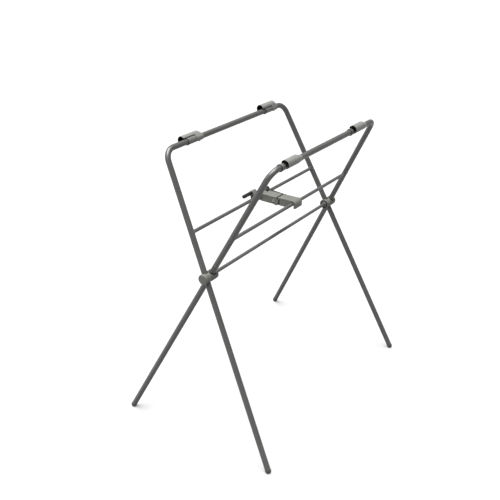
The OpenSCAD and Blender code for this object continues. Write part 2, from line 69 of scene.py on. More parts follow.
def foot_y(f):
    """Distance of the feet of a frame from the pivot axis, across the rail."""
    return leg_down(f) * math.cos(rad(splay[f])) * math.sin(rad(lean[f]))


shift = (foot_x("a") - foot_x("b")) / 2
frame_x = {"a": -leg_step / 2 + shift, "b": leg_step / 2 + shift}
pivot_y = (foot_y("a") - foot_y("b")) / 2


def in_plane(f, along):
    """Height in a frame's own plane of a place that far up its leg from the pivot axis."""
    return along * math.cos(rad(splay[f]))


def half_width(f, along):
    """Distance of a leg from the middle of its frame, that far up the leg."""
    return leg_span / 2 - along * math.sin(rad(splay[f]))


def frame_matrix(f):
    """From a frame's own plane (x along the rail, z up the frame) to the row frame, in mm."""
    return (Matrix.Translation((frame_x[f], pivot_y, pivot_h))
            @ Matrix.Rotation(rad(-side[f] * lean[f]), 4, "X"))


def leg_matrix(f, end):
    """Origin on the pivot axis, +Z up that leg."""
    return (frame_matrix(f) @ Matrix.Translation((end * leg_span / 2, 0, 0))
            @ Matrix.Rotation(rad(-end * splay[f]), 4, "Y"))


def pivot_x(end):
    """Place of a pivot along the pivot axis, halfway between the legs that meet there."""
    return end * leg_span / 2 + (frame_x["a"] + frame_x["b"]) / 2


def pivot_matrix(end):
    """+Z along the pivot axis, away from the middle of the stand."""
    return Matrix.Translation((pivot_x(end), pivot_y, pivot_h)) @ Matrix.Rotation(rad(end * 90), 4, "Y")


def rail_matrix(f, x):
    """+X along the rail, +Y outward, +Z up, at a distance from the middle of the frame."""
    return (frame_matrix(f) @ Matrix.Translation((x, 0, in_plane(f, upper[f])))
            @ Matrix.Rotation(rad(side[f] * lean[f]), 4, "X") @ Matrix.Scale(side[f], 4, (0, 1, 0)))


bar_y = {f: pivot_y + side[f] * in_plane(f, crossbar_up[f]) * math.sin(rad(lean[f])) for f in "ab"}
bar_z = {f: pivot_h + in_plane(f, crossbar_up[f]) * math.cos(rad(lean[f])) for f in "ab"}
brace_run, brace_rise = bar_y["a"] - bar_y["b"], bar_z["b"] - bar_z["a"]
brace_span = math.hypot(brace_run, brace_rise)
brace_tilt = math.atan2(brace_rise, brace_run)
brace_matrix = (
    Matrix.Translation((frame_x["a"] + brace_x, bar_y["a"], bar_z["a"]))
    @ Matrix.Rotation(-brace_tilt, 4, "X")
    @ Matrix(((0, 0, 1, 0), (-1, 0, 0, 0), (0, 1, 0, 0), (0, 0, 0, 1)))
)
# brace_matrix: x runs from crossbar A to crossbar B, y up, z across, away from the near end

# ---------------------------------------------------------------- mesh helpers


def set_finish(obj, *mats):
    """Gives a mesh these finishes alone, in this order."""
    obj.data.materials.clear()
    for mat in mats:
        obj.data.materials.append(mat)


def shade_smooth(mesh):
    """Shades every face of a mesh smooth."""
    mesh.polygons.foreach_set("use_smooth", [True] * len(mesh.polygons))


def make(name, verts, faces, matrix=Matrix.Identity(4), mat=None, smooth=True):
    """A mesh object from points in mm, placed by a matrix in mm."""
    flip = matrix.determinant() < 0
    mesh = bpy.data.meshes.new(name)
    pts = [(matrix @ Vector(v)) * MM for v in verts]
    order = [tuple(reversed(f)) if flip else tuple(f) for f in faces]
    mesh.from_pydata([tuple(p) for p in pts], [], order)
    mesh.validate()
    mesh.update()
    if smooth:
        shade_smooth(mesh)
    obj = bpy.data.objects.new(name, mesh)
    scene.collection.objects.link(obj)
    if mat:
        mesh.materials.append(mat)
    return obj


def ring_faces(count, rings, cap_a=True, cap_b=True):
    """Faces over rings of points, each with count points; a capped end gets one face."""
    faces = []
    for i in range(rings - 1):
        for j in range(count):
            k = (j + 1) % count
            faces.append((i * count + j, i * count + k, (i + 1) * count + k, (i + 1) * count + j))
    if cap_a:
        faces.append(tuple(reversed(range(count))))
    if cap_b:
        faces.append(tuple((rings - 1) * count + j for j in range(count)))
    return faces


def lathe(name, profile, matrix, mat, count=64, cap_a=True, cap_b=True):
    """A turned piece: profile is a list of (distance along z, radius)."""
    verts = []
    for h, r in profile:
        for j in range(count):
            a = 2 * math.pi * j / count
            verts.append((r * math.cos(a), r * math.sin(a), h))
    obj = make(name, verts, ring_faces(count, len(profile), cap_a=cap_a, cap_b=cap_b), matrix, mat)
    sharp_by_angle(obj, 40)
    return obj


def loop_lathe(name, profile, matrix, mat, count=72):
    """A turned ring: its profile ends just off its start, so it needs no faces at its ends."""
    return lathe(name, profile, matrix, mat, count, cap_a=False, cap_b=False)


def rounded(points, radius, steps=4):
    """A polyline of (h, r) with its corners rounded."""
    out = [points[0]]
    for a, b, c in zip(points, points[1:], points[2:]):
        va, vc = Vector(a) - Vector(b), Vector(c) - Vector(b)
        la, lc = va.length, vc.length
        if la < 1e-6 or lc < 1e-6:
            continue
        d = min(radius, la * 0.45, lc * 0.45)
        p, q, m = Vector(b) + va / la * d, Vector(b) + vc / lc * d, Vector(b)
        for i in range(steps + 1):
            t = i / steps
            out.append(tuple((1 - t) ** 2 * p + 2 * t * (1 - t) * m + t * t * q))
    out.append(points[-1])
    return out


def sweep(name, path, radius, mat, matrix, count=40, squash=None):
    """A round tube along a path of points. squash gives its two half widths at each point, as shares."""
    path = [Vector(p) for p in path]
    tangents = []
    for i in range(len(path)):
        a, b = path[max(i - 1, 0)], path[min(i + 1, len(path) - 1)]
        tangents.append((b - a).normalized())
    up = Vector((0, 1, 0)) if abs(tangents[0].y) < 0.9 else Vector((1, 0, 0))
    side_v = tangents[0].cross(up).normalized()
    verts = []
    for i, (p, t) in enumerate(zip(path, tangents)):
        side_v = (side_v - t * side_v.dot(t)).normalized()
        other = t.cross(side_v)
        sx, sy = squash[i] if squash else (1, 1)
        for j in range(count):
            a = 2 * math.pi * j / count
            across, along = radius * sx * math.cos(a), radius * sy * math.sin(a)
            verts.append(p + side_v * across + other * along)
    obj = make(name, verts, ring_faces(count, len(path)), matrix, mat)
    sharp_by_angle(obj, 50)
    return obj


def sharp_by_angle(obj, degrees):
    """Marks the edges of a mesh sharp where its faces meet at more than an angle."""
    bm = bmesh.new()
    bm.from_mesh(obj.data)
    limit = rad(degrees)
    for e in bm.edges:
        e.smooth = not (len(e.link_faces) == 2 and e.calc_face_angle(0) > limit)
    bm.to_mesh(obj.data)
    bm.free()


def join(objs, name):
    """Joins mesh objects into the first."""
    first = objs[0]
    bm = bmesh.new()
    mats = []
    for o in objs:
        index = {}
        for i, m in enumerate(o.data.materials):
            if m not in mats:
                mats.append(m)
            index[i] = mats.index(m)
        part = bmesh.new()
        part.from_mesh(o.data)
        part.transform(first.matrix_world.inverted() @ o.matrix_world)
        for f in part.faces:
            f.material_index = index.get(f.material_index, 0)
        temp = bpy.data.meshes.new("temp")
        part.to_mesh(temp)
        part.free()
        bm.from_mesh(temp)
        bpy.data.meshes.remove(temp)
    mesh = bpy.data.meshes.new(name)
    bm.to_mesh(mesh)
    bm.free()
    for m in mats:
        mesh.materials.append(m)
    first.data = mesh
    first.name = name
    for o in objs[1:]:
        bpy.data.objects.remove(o)
    return first


def apply_modifiers(obj):
    """Makes a piece's modifiers part of its mesh."""
    bpy.context.view_layer.update()
    dg = bpy.context.evaluated_depsgraph_get()
    mesh = bpy.data.meshes.new_from_object(obj.evaluated_get(dg))
    obj.modifiers.clear()
    obj.data = mesh


def cut_out(obj, other):
    """Cuts one closed piece out of another and drops the cutter."""
    m = obj.modifiers.new("cut", "BOOLEAN")
    m.operation, m.object, m.solver = "DIFFERENCE", other, "EXACT"
    apply_modifiers(obj)
    bpy.data.objects.remove(other)


def slab(name, outline, z0, z1, matrix, mat=None):
    """A flat piece: a 2D outline drawn out along z."""
    n = len(outline)
    verts = [(x, y, z0) for x, y in outline] + [(x, y, z1) for x, y in outline]
    pairs = zip(outline, outline[1:] + outline[:1])
    faces = [tuple(reversed(range(n))), tuple(range(n, 2 * n))]
    faces += [(i, (i + 1) % n, n + (i + 1) % n, n + i) for i in range(n)]
    if sum(x0 * y1 - x1 * y0 for (x0, y0), (x1, y1) in pairs) < 0:
        faces = [tuple(reversed(f)) for f in faces]
    return make(name, verts, faces, matrix, mat, smooth=False)


def rod(name, r, z0, z1, matrix, count=64):
    """A plain round rod, to cut holes with."""
    ways = [2 * math.pi * j / count for j in range(count)]
    verts = [(r * math.cos(a), r * math.sin(a), z) for z in (z0, z1) for a in ways]
    return make(name, verts, ring_faces(count, 2), matrix, smooth=False)


def copy_of(node, name, mat):
    """A free copy of a CAD node's mesh, to be worked on; the node itself stays as it is."""
    obj = bpy.data.objects.new(name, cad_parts[node].data.copy())
    scene.collection.objects.link(obj)
    set_finish(obj, mat)
    bm = bmesh.new()
    bm.from_mesh(obj.data)
    bmesh.ops.remove_doubles(bm, verts=bm.verts, dist=1e-7)
    bm.to_mesh(obj.data)
    bm.free()
    return obj


def soften(obj, voxel, rounds, keep):
    """Rounds the edges of a moulded piece: a fine remesh, a smooth and a decimation."""
    mats = list(obj.data.materials)
    m = obj.modifiers.new("remesh", "REMESH")
    m.mode, m.voxel_size, m.use_smooth_shade = "VOXEL", voxel * MM, True
    s = obj.modifiers.new("smooth", "SMOOTH")
    s.factor, s.iterations = 0.5, rounds
    obj.modifiers.new("fewer", "DECIMATE").ratio = keep
    apply_modifiers(obj)
    set_finish(obj, *mats)
    shade_smooth(obj.data)
    return obj


def stand_for(obj, body, *nodes, slot):
    """Puts a piece on a body in place of CAD nodes. The slot argument is not used."""
    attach(obj, body)
    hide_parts(*nodes)


# ---------------------------------------------------------------- materials


def srgb(*rgb):
    """A colour from display values of 0 to 255, none of them under 11."""
    return tuple(((c / 255 + 0.055) / 1.055) ** 2.4 for c in rgb) + (1,)


def material(name, dark, light, rough, metallic=0.0, grain=900, bump=0.08, cloud=25, coat=0.0,
             peel=0.0, specular=0.5, brushed=False):
    """A finish with colour that clouds between two tones, a grain in its surface and uneven roughness.
    peel adds the slow waves of a sprayed coat."""
    rough_by = 0.06
    mat = bpy.data.materials.new(name)
    mat.use_nodes = True
    nt = mat.node_tree
    bsdf = nt.nodes["Principled BSDF"]
    where = nt.nodes.new("ShaderNodeTexCoord")
    place = nt.nodes.new("ShaderNodeMapping")
    nt.links.new(where.outputs["Object"], place.inputs["Vector"])
    if brushed:
        place.inputs["Scale"].default_value = (0.06, 1, 1)

    def noise(scale, detail, mapped=False):
        n = nt.nodes.new("ShaderNodeTexNoise")
        n.inputs["Scale"].default_value = scale
        n.inputs["Detail"].default_value = detail
        n.inputs["Roughness"].default_value = 0.6
        source = place.outputs["Vector"] if mapped else where.outputs["Object"]
        nt.links.new(source, n.inputs["Vector"])
        return n

    clouds = noise(cloud, 5)
    fine = noise(grain, 3, mapped=brushed)
    mix = nt.nodes.new("ShaderNodeMath")
    mix.operation = "MULTIPLY_ADD"
    mix.inputs[1].default_value = 0.35
    nt.links.new(fine.outputs["Fac"], mix.inputs[0])
    scaled = nt.nodes.new("ShaderNodeMath")
    scaled.operation = "MULTIPLY"
    scaled.inputs[1].default_value = 0.65
    nt.links.new(clouds.outputs["Fac"], scaled.inputs[0])
    nt.links.new(scaled.outputs[0], mix.inputs[2])
    ramp = nt.nodes.new("ShaderNodeValToRGB")
    ramp.color_ramp.elements[0].position = 0.35
    ramp.color_ramp.elements[0].color = dark
    ramp.color_ramp.elements[1].position = 0.65
    ramp.color_ramp.elements[1].color = light
    nt.links.new(mix.outputs[0], ramp.inputs["Fac"])
    nt.links.new(ramp.outputs["Color"], bsdf.inputs["Base Color"])
    rmap = nt.nodes.new("ShaderNodeMapRange")
    rmap.inputs["From Min"].default_value = 0.3
    rmap.inputs["From Max"].default_value = 0.7
    rmap.inputs["To Min"].default_value = rough - rough_by
    rmap.inputs["To Max"].default_value = rough + rough_by
    nt.links.new(mix.outputs[0], rmap.inputs["Value"])
    nt.links.new(rmap.outputs["Result"], bsdf.inputs["Roughness"])
    b = nt.nodes.new("ShaderNodeBump")
    b.inputs["Strength"].default_value = bump
    b.inputs["Distance"].default_value = 0.00025
    nt.links.new(fine.outputs["Fac"], b.inputs["Height"])
    if peel:
        waves = noise(peel, 1)
        b2 = nt.nodes.new("ShaderNodeBump")
        b2.inputs["Strength"].default_value = 0.12
        b2.inputs["Distance"].default_value = 0.0004
        nt.links.new(waves.outputs["Fac"], b2.inputs["Height"])
        nt.links.new(b.outputs["Normal"], b2.inputs["Normal"])
        b = b2
    nt.links.new(b.outputs["Normal"], bsdf.inputs["Normal"])
    bsdf.inputs["Metallic"].default_value = metallic
    bsdf.inputs["Specular IOR Level"].default_value = specular
    bsdf.inputs["Coat Weight"].default_value = coat
    bsdf.inputs["Coat Roughness"].default_value = 0.25
    return mat


coat_paint = material("satin_grey_paint", srgb(83, 83, 82), srgb(91, 91, 90), 0.34,
                      peel=420, grain=2200, bump=0.06, coat=0.15, specular=0.7)
olive = material("olive_moulding", srgb(101, 102, 96), srgb(110, 111, 104), 0.46,
                 grain=1600, bump=0.14, cloud=60)
brace_olive = material("brace_moulding", srgb(105, 106, 101), srgb(114, 115, 109), 0.42,
                       grain=1600, bump=0.14, cloud=60)
hook_olive = material("hook_moulding", srgb(124, 124, 122), srgb(133, 133, 130), 0.36,
                      grain=1600, bump=0.12, cloud=60)
collar_grey = material("collar_moulding", srgb(106, 107, 103), srgb(114, 115, 111), 0.40,
                       grain=1600, bump=0.12, cloud=60)
plain_grey = material("grey_moulding", srgb(98, 99, 97), srgb(107, 108, 105), 0.40,
                      grain=1500, bump=0.12, cloud=60)
cap_olive = material("cap_moulding", srgb(107, 108, 102), srgb(116, 117, 111), 0.40,
                     grain=1500, bump=0.12, cloud=60)
# black moulding for the grip and knuckle, and also the black of painted shade in gaps, grooves and the
# brace's fork
black_and_painted_shade = material("black_moulding_and_painted_shade", srgb(26, 26, 26), srgb(36, 36, 35), 0.38,
                       grain=1400, bump=0.15, cloud=70)
rubber = material("dark_rubber", srgb(62, 62, 61), srgb(72, 72, 71), 0.60,
                  grain=900, bump=0.25, cloud=80)
# painted shade: the black put inside the rim hooks
hood_shade_black = material("painted_hood_shade", srgb(14, 14, 14), srgb(20, 20, 20), 0.85,
                  grain=900, bump=0.2, cloud=80, specular=0.15)
steel = material("bright_steel", srgb(170, 170, 168), srgb(196, 196, 194), 0.30,
                 metallic=1.0, grain=2500, bump=0.05, brushed=True)
dark_steel = material("dark_steel", srgb(42, 42, 42), srgb(56, 56, 55), 0.38,
                      grain=2000, bump=0.08, coat=0.1)
tube_steel = material("plated_lever_tube", srgb(150, 151, 150), srgb(168, 169, 167), 0.34,
                      metallic=0.5, grain=2500, bump=0.05, brushed=True)
nylon = material("white_nylon", srgb(222, 222, 216), srgb(232, 232, 227), 0.45,
                 grain=1500, bump=0.1)

# ---------------------------------------------------------------- frames of bent tube


foot_top = 12.0
flare_out, flare_len, flare_short = 1.9, 10.0, 1.0
flare_curve = 2.2
bead_r, bead_back = 0.95, 0.2


def frame_path(f):
    """The middle line of a frame's tube: up one leg, along the rail and down the other."""
    trim = bend_r * math.tan(rad(90 - splay[f]) / 2)
    top_x, top_z = half_width(f, upper[f]) - trim, in_plane(f, upper[f]) - bend_r
    half = []
    low, high = -leg_down(f) + foot_top, upper[f] - trim
    for i in range(25):
        up = low + (high - low) * i / 24
        half.append((half_width(f, up), 0, in_plane(f, up)))
    for i in range(1, 41):
        a = rad(splay[f] + (90 - splay[f]) * i / 40)
        half.append((top_x + bend_r * math.cos(a), 0, top_z + bend_r * math.sin(a)))
    rail = []
    for i in range(1, 20):
        x = top_x - 2 * top_x * i / 20
        rail.append((x, 0, in_plane(f, upper[f])))
    return half + rail + [(-x, y, z) for x, y, z in reversed(half)]


for f in "ab":
    path = frame_path(f)
    # the tube is a little flat in its bends
    flat = []
    for x, y, z in path:
        bent = abs(x) > half_width(f, upper[f]) - bend_r - 4 and z > in_plane(f, upper[f]) - bend_r - 2
        flat.append((1.0, 0.985) if bent else (1.0, 1.0))
    tube = sweep("tube_" + f, path, tube_r, coat_paint, frame_matrix(f), count=56, squash=flat)
    stand_for(tube, "frame_" + f, "frame_" + f, slot="coated_tube")

    # the crossbar with its flared, welded ends
    half = half_width(f, crossbar_up[f])
    flare_from = half - flare_short - flare_len
    profile = []
    for i in range(13):
        t = i / 12
        profile.append((-(flare_from + flare_len * (1 - t)), bar_r + flare_out * (1 - t) ** flare_curve))
    for i in range(1, 12):
        profile.append((-flare_from * (1 - i / 6), bar_r))
    for i in range(13):
        t = i / 12
        profile.append((flare_from + flare_len * t, bar_r + flare_out * t ** flare_curve))
    turn_m = (frame_matrix(f) @ Matrix.Translation((0, 0, in_plane(f, crossbar_up[f])))
              @ Matrix.Rotation(rad(90), 4, "Y"))
    beads = [lathe("bar_" + f, profile, turn_m, coat_paint, count=48)]
    for end in (near, far):
        # the weld: a lumpy ring where the flare meets the leg's round side
        ring, n, m = [], 72, 10
        for i in range(n):
            a = 2 * math.pi * i / n
            r_at = bar_r + flare_out
            yy, zz = r_at * math.cos(a), r_at * math.sin(a)
            depth = math.sqrt(max(tube_r ** 2 - yy ** 2, 0))
            x_at = end * (half_width(f, crossbar_up[f] + zz) - depth - bead_back)
            rr = bead_r * (1.0 + 0.16 * math.sin(11 * a + end) + 0.07 * math.sin(23 * a))
            for j in range(m):
                b = 2 * math.pi * j / m
                out_at = r_at + rr * math.sin(b)
                ring.append((x_at + rr * math.cos(b), out_at * math.cos(a),
                             in_plane(f, crossbar_up[f]) + out_at * math.sin(a)))
        faces = [(i * m + j, i * m + (j + 1) % m, ((i + 1) % n) * m + (j + 1) % m, ((i + 1) % n) * m + j)
                 for i in range(n) for j in range(m)]
        beads.append(make("weld", ring, faces, frame_matrix(f), coat_paint))
    bar = join(beads, "bar_" + f)
    stand_for(bar, "frame_" + f, "crossbar_" + f, "weld_%s_near" % f, "weld_%s_far" % f,
              slot="coated_tube")

# ---------------------------------------------------------------- feet and rivets


def cut_flat(obj):
    """Cuts off what lies under the floor and closes the cut."""
    bm = bmesh.new()
    bm.from_mesh(obj.data)
    geom = bm.verts[:] + bm.edges[:] + bm.faces[:]
    res = bmesh.ops.bisect_plane(bm, geom=geom, plane_co=(0, 0, 0), plane_no=(0, 0, 1), clear_inner=True)
    edges = [e for e in res["geom_cut"] if isinstance(e, bmesh.types.BMEdge)]
    bmesh.ops.holes_fill(bm, edges=edges, sides=0)
    bm.to_mesh(obj.data)
    bm.free()


ball_up, foot_r, foot_waist_r, foot_plug_r, foot_plug_len = 7.5, 9.3, 9.05, 7.2, 22.0
rivet_up, rivet_r, rivet_head_r = 40.0, 2.0, 3.4
rivet_prof = [(0, rivet_r), (tube_r - 1.0, rivet_r), (tube_r - 1.0, rivet_head_r),
              (tube_r - 0.1, rivet_head_r), (tube_r + 0.15, rivet_head_r - 0.15), (tube_r + 0.38, 2.6),
              (tube_r + 0.52, 1.6), (tube_r + 0.58, 0.6), (tube_r + 0.6, 0.05)]
for f in "ab":
    for end in (near, far):
        ball = -leg_down(f) + ball_up / (math.cos(rad(lean[f])) * math.cos(rad(splay[f])))
        top = -leg_down(f) + foot_top
        tall = top - ball
        prof = [(ball - foot_r * math.cos(rad(a)), foot_r * math.sin(rad(a))) for a in range(3, 88, 5)]
        prof += [(ball, foot_r), (ball + tall * 0.35, foot_r), (ball + tall * 0.45, foot_waist_r),
                 (ball + tall * 0.58, foot_waist_r), (ball + tall * 0.68, foot_r), (top - 0.5, foot_r),
                 (top - 0.12, foot_r - 0.15), (top, foot_r - 0.45), (top, foot_plug_r),
                 (top + foot_plug_len, foot_plug_r - 0.1)]
        foot = lathe("foot_piece_%s_%s" % (f, names[end]), prof, leg_matrix(f, end), rubber, count=56)
        cut_flat(foot)
        sharp_by_angle(foot, 50)
        stand_for(foot, "frame_" + f, "foot_%s_%s" % (f, names[end]), slot="black_plastic")

    heads = []
    for end in (near, far):
        middle = Matrix.Translation((end * half_width(f, rivet_up), 0, in_plane(f, rivet_up)))
        for turn in (90, 270):
            m = frame_matrix(f) @ middle @ Matrix.Rotation(rad(turn), 4, "Y")
            heads.append(lathe("rivet", rivet_prof, m, coat_paint, count=32))
    rivets = join(heads, "rivets_" + f)
    stand_for(rivets, "frame_" + f, "leg_rivets_" + f, slot="steel")

# ---------------------------------------------------------------- pivots

stack_out, stack_in = 24.7, 26.2
for f in "ab":
    for end in (near, far):
        node = "housing_%s_%s" % (f, names[end])
        drum = soften(copy_of(node, "drum_%s_%s" % (f, names[end]), olive), voxel=0.5, rounds=3, keep=0.4)
        # on frame B a thin black ring of painted shade where the leg enters, at both ends of the drum
        if f == "b":
            prof = [(12, tube_r - 0.2), (12, tube_r + 0.9), (16.6, tube_r + 0.9),
                    (16.9, tube_r + 0.6), (16.9, tube_r - 0.2)]
            middle = frame_matrix(f) @ Matrix.Translation((end * half_width(f, 0), 0, 0))
            entry_shade_rings = [lathe("entry_shade_ring", prof, middle @ Matrix.Rotation(rad(turn), 4, "X"),
                            black_and_painted_shade, count=48) for turn in (0, 180)]
            drum = join([drum] + entry_shade_rings, drum.name)
        stand_for(drum, "frame_" + f, node, slot="olive_plastic")

for end, body in ((near, "frame_a"), (far, "frame_b")):
    steps = ((0, 15.9), (1.9, 15.9), (2.6, 15.2), (2.6, 13.9), (1.9, 13.5), (1.9, 12.9),
             (2.5, 12.4), (2.6, 6), (2.6, 0.05))
    prof = [(stack_out, 15.0)] + rounded([(stack_out + h, r) for h, r in steps], 0.4)
    disc = lathe("cap_disc_" + names[end], prof, pivot_matrix(end), cap_olive, count=72)
    stand_for(disc, body, "cap_" + names[end], slot="grey_plastic")

for end, body in ((near, "frame_b"), (far, "frame_a")):
    e = -stack_in - 3
    steps = ((0.6, 16.5), (0, 15.9), (0, 14.2), (2.2, 14.0), (2.2, 10.1), (0, 9.9), (-0.5, 9.0),
             (-2.9, 9.0), (-3.4, 8.5), (-3.4, 5.7), (-1.2, 5.62))
    prof = rounded([(-stack_in, 4.2), (-stack_in, 16.5)] + [(e + h, r) for h, r in steps], 0.3)
    parts = [lathe("flange_piece", prof, pivot_matrix(end), plain_grey, count=72)]
    # short webs across the groove
    for k in range(4):
        a = 2 * math.pi * (k + 0.5) / 4
        m = pivot_matrix(end) @ Matrix.Rotation(a, 4, "Z")
        web = [(9.7, -0.6), (14.4, -0.6), (14.4, 0.6), (9.7, 0.6)]
        parts.append(slab("web", web, e + 0.3, e + 2.5, m, plain_grey))
    # painted shade: a black ring on the floor of the groove, where shade falls
    prof = [(e + 1.7, 14.05), (e + 1.7, 10.05), (e + 2.3, 10.05), (e + 2.3, 14.05), (e + 1.7, 14.04)]
    parts.append(loop_lathe("groove_shade_ring", prof, pivot_matrix(end), black_and_painted_shade))
    piece = join(parts, "flange_disc_" + names[end])
    stand_for(piece, body, "flange_" + names[end], slot="grey_plastic")

# the bar between the two pivots
from_x, to_x = pivot_x(near) + stack_in + 0.6, pivot_x(far) - stack_in - 0.6
bar_m = Matrix.Translation((0, pivot_y, pivot_h)) @ Matrix.Rotation(rad(90), 4, "Y")
prof = [(from_x, 4.1), (from_x, bar_r)]
prof += [(from_x + (to_x - from_x) * i / 12, bar_r) for i in range(1, 12)]
prof = rounded(prof + [(to_x, bar_r), (to_x, 4.1)], 0.3)
middle_bar = lathe("middle_bar", prof, bar_m, coat_paint, count=48)
stand_for(middle_bar, "frame_a", "pivot_bar", slot="coated_tube")

# ---------------------------------------------------------------- rim hooks and collars

hook_at = {"a": (-0.648, 0.512), "b": (-0.703, 0.4)}
hook_turned = {"a": (-18, 10), "b": (0, 5)}
collar_from = {"a": (12.5, 12.5), "b": (-13.5, -6.5)}
hood_full = {"a": 74.0, "b": 57.0}
sleeve_to = {"a": 84.0, "b": 93.0}
taper_to, taper_back = 84.0, 0.6
hood_y, hood_z, hood_r, hood_wall, hood_len = 8.3, 7.7, 13.4, 2.0, 52.0
hood_low, hood_lip = -62, 154
# the black sheet of painted shade inside the hood: its ends in degrees, and how far it stands out from and
# in from the hood's inner wall
shade_sheet_low, shade_sheet_lip, shade_sheet_out, shade_sheet_in = -58, {"a": 157, "b": 162}, 0.2, 0.7
sleeve_r, sleeve_end_r, bore_r = 10.4, 9.8, 9.0
screw_x, screw_lean, screw_up, screw_gap = 70.0, -15, 11.2, 2.2
collar_in, collar_r, collar_rim_r = 8.85, 10.6, 11.2
hull_points = 96
ALONG = Matrix.Rotation(rad(90), 4, "Y")
ACROSS = Matrix(((0, 0, 1, 0), (1, 0, 0, 0), (0, 1, 0, 0), (0, 0, 0, 1)))
# ACROSS: x of an outline lies outward, y up, and its thickness runs along the rail


def hull_outline(y, z, r, r0):
    """The outline round a circle at (y, z) and the sleeve's circle, by direction."""
    pts = []
    for i in range(hull_points):
        a = 2 * math.pi * i / hull_points
        d = (math.cos(a), math.sin(a))
        use = y * d[0] + z * d[1] + r > r0
        pts.append((y + r * d[0], z + r * d[1]) if use else (r0 * d[0], r0 * d[1]))
    return pts


def hood_outline(out_r, in_r, low, lip):
    """A round shell about the hood's middle, open towards the rail, with rounded lips."""
    mid, half = (out_r + in_r) / 2, (out_r - in_r) / 2

    def arc(r, a0, a1):
        ways = [rad(a0 + (a1 - a0) * i / 60) for i in range(61)]
        return [(hood_y + r * math.cos(a), hood_z + r * math.sin(a)) for a in ways]

    def edge(at, start):
        a, ways = rad(at), [rad(start + 180 * i / 8) for i in range(1, 8)]
        return [(hood_y + mid * math.cos(a) + half * math.cos(b),
                 hood_z + mid * math.sin(a) + half * math.sin(b)) for b in ways]

    return arc(out_r, low, lip) + edge(lip, lip) + arc(in_r, lip, low) + edge(low, low + 180)


def sector(r0, r1, a0, a1, n=24):
    """Part of a ring; angles run from straight down, outward."""
    ways = [rad(a0 + (a1 - a0) * i / n) for i in range(n + 1)]
    out = [(r1 * math.sin(a), -r1 * math.cos(a)) for a in ways]
    return out + [(r0 * math.sin(a), -r0 * math.cos(a)) for a in reversed(ways)]


def shoulder_sections(f):
    """Outlines along the rail of the solid part that draws in from the hood to the sleeve."""
    secs, full = [], hood_full[f]
    for i in range(5):
        x = hood_len + (full - hood_len) * i / 4
        secs.append((x, hull_outline(hood_y, hood_z, hood_r, sleeve_r)))
    for i in range(1, 21):
        t = i / 20
        ease = t * t * (3 - 2 * t) * 0.45 + t * 0.55
        r = hood_r + (sleeve_r - hood_r) * ease
        outline = hull_outline(hood_y * (1 - ease), hood_z * (1 - ease), r, sleeve_r)
        secs.append((full + (taper_to - 1 - full) * t, outline))
    for t in (0, 0.5, 0.9, 1):
        r = sleeve_r + (sleeve_end_r - sleeve_r) * t - (0.5 if t == 1 else 0)
        x = taper_to - taper_back + (sleeve_to[f] - taper_to + taper_back) * t
        secs.append((x, hull_outline(0, 0, r, r)))
    return secs


